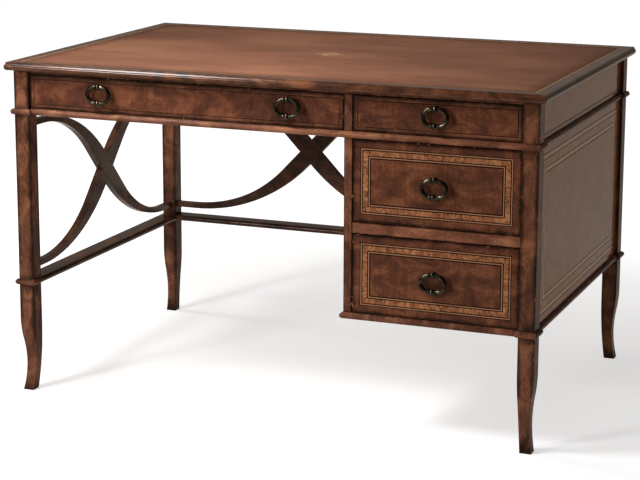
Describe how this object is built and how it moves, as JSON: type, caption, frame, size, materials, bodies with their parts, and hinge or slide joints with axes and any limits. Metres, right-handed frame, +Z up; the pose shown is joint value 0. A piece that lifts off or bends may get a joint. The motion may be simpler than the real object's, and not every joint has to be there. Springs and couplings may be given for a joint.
{
  "type": "pedestal desk",
  "caption": "Writing desk on swept legs with a hanging drawer pedestal at one end, frieze drawers with ring pulls, crossing curved braces and a leather-lined top.",
  "frame": {"origin": "on the floor, under the middle of the top", "axes": "+X to the right seen from the front, +Y from front to back, +Z up; the drawers face -Y"},
  "size_m": [1.245, 0.813, 0.762],
  "materials": {
    "frame_wood": "polished",
    "front_wood": "polished",
    "dark_wood": "polished",
    "inner_wood": "plain",
    "leather": "satin",
    "bronze": "aged dark bronze",
    "steel": "plain"
  },
  "bodies": {
    "desk": {"apron_back": "frame_wood", "apron_left": "frame_wood", "apron_right": "frame_wood", "bead_rail_back": "frame_wood", "bead_rail_left": "frame_wood", "bead_rail_right": "frame_wood", "brace_back_falling": "dark_wood", "brace_back_rising": "dark_wood", "brace_left_falling": "dark_wood", "brace_left_rising": "dark_wood", "drawer_divider": "frame_wood", "frieze_bearers": "inner_wood", "frieze_collars": "frame_wood", "frieze_partition": "inner_wood", "front_bead_rail": "frame_wood", "front_top_rail": "inner_wood", "leg_back_left": "frame_wood", "leg_back_right": "frame_wood", "leg_front_left": "frame_wood", "leg_front_right": "frame_wood", "lower_collars": "frame_wood", "pedestal_back": "inner_wood", "pedestal_base": "frame_wood", "pedestal_rail": "frame_wood", "pedestal_runners": "inner_wood", "pedestal_side_left": "frame_wood", "pedestal_side_right": "frame_wood", "pedestal_stile": "frame_wood", "stretcher_back": "dark_wood", "stretcher_left": "dark_wood", "top_blocks": "inner_wood", "top_edge_back": "frame_wood", "top_edge_front": "frame_wood", "top_edge_left": "frame_wood", "top_edge_right": "frame_wood", "top_panel": "inner_wood", "top_screws": "steel", "writing_leather": "leather"},
    "wide_drawer": {"wide_drawer_front": "front_wood", "wide_drawer_box": "inner_wood", "wide_drawer_bottom": "inner_wood", "wide_drawer_posts": "bronze"},
    "small_drawer": {"small_drawer_front": "front_wood", "small_drawer_box": "inner_wood", "small_drawer_bottom": "inner_wood", "small_drawer_posts": "bronze"},
    "upper_drawer": {"upper_drawer_front": "front_wood", "upper_drawer_box": "inner_wood", "upper_drawer_bottom": "inner_wood", "upper_drawer_posts": "bronze"},
    "lower_drawer": {"lower_drawer_front": "front_wood", "lower_drawer_box": "inner_wood", "lower_drawer_bottom": "inner_wood", "lower_drawer_posts": "bronze"},
    "wide_ring_left": {"wide_ring_left": "bronze"},
    "wide_ring_right": {"wide_ring_right": "bronze"},
    "small_ring": {"small_ring": "bronze"},
    "upper_ring": {"upper_ring": "bronze"},
    "lower_ring": {"lower_ring": "bronze"}
  },
  "joints": [
    {"name": "wide_drawer_slide", "type": "slide", "parent": "desk", "child": "wide_drawer", "axis": [0, -1, 0], "range_m": [0, 0.4]},
    {"name": "wide_ring_left_swing", "type": "hinge", "parent": "wide_drawer", "child": "wide_ring_left", "pos_m": [-0.3925, -0.396, 0.7175], "axis": [-1, 0, 0], "range_deg": [0, 110]},
    {"name": "wide_ring_right_swing", "type": "hinge", "parent": "wide_drawer", "child": "wide_ring_right", "pos_m": [0.057, -0.396, 0.7175], "axis": [-1, 0, 0], "range_deg": [0, 110]},
    {"name": "small_drawer_slide", "type": "slide", "parent": "desk", "child": "small_drawer", "axis": [0, -1, 0], "range_m": [0, 0.4]},
    {"name": "small_ring_swing", "type": "hinge", "parent": "small_drawer", "child": "small_ring", "pos_m": [0.3855, -0.396, 0.7175], "axis": [-1, 0, 0], "range_deg": [0, 110]},
    {"name": "upper_drawer_slide", "type": "slide", "parent": "desk", "child": "upper_drawer", "axis": [0, -1, 0], "range_m": [0, 0.4]},
    {"name": "upper_ring_swing", "type": "hinge", "parent": "upper_drawer", "child": "upper_ring", "pos_m": [0.3855, -0.396, 0.56799], "axis": [-1, 0, 0], "range_deg": [0, 110]},
    {"name": "lower_drawer_slide", "type": "slide", "parent": "desk", "child": "lower_drawer", "axis": [0, -1, 0], "range_m": [0, 0.4]},
    {"name": "lower_ring_swing", "type": "hinge", "parent": "lower_drawer", "child": "lower_ring", "pos_m": [0.3855, -0.396, 0.36624], "axis": [-1, 0, 0], "range_deg": [0, 110]}
  ]
}
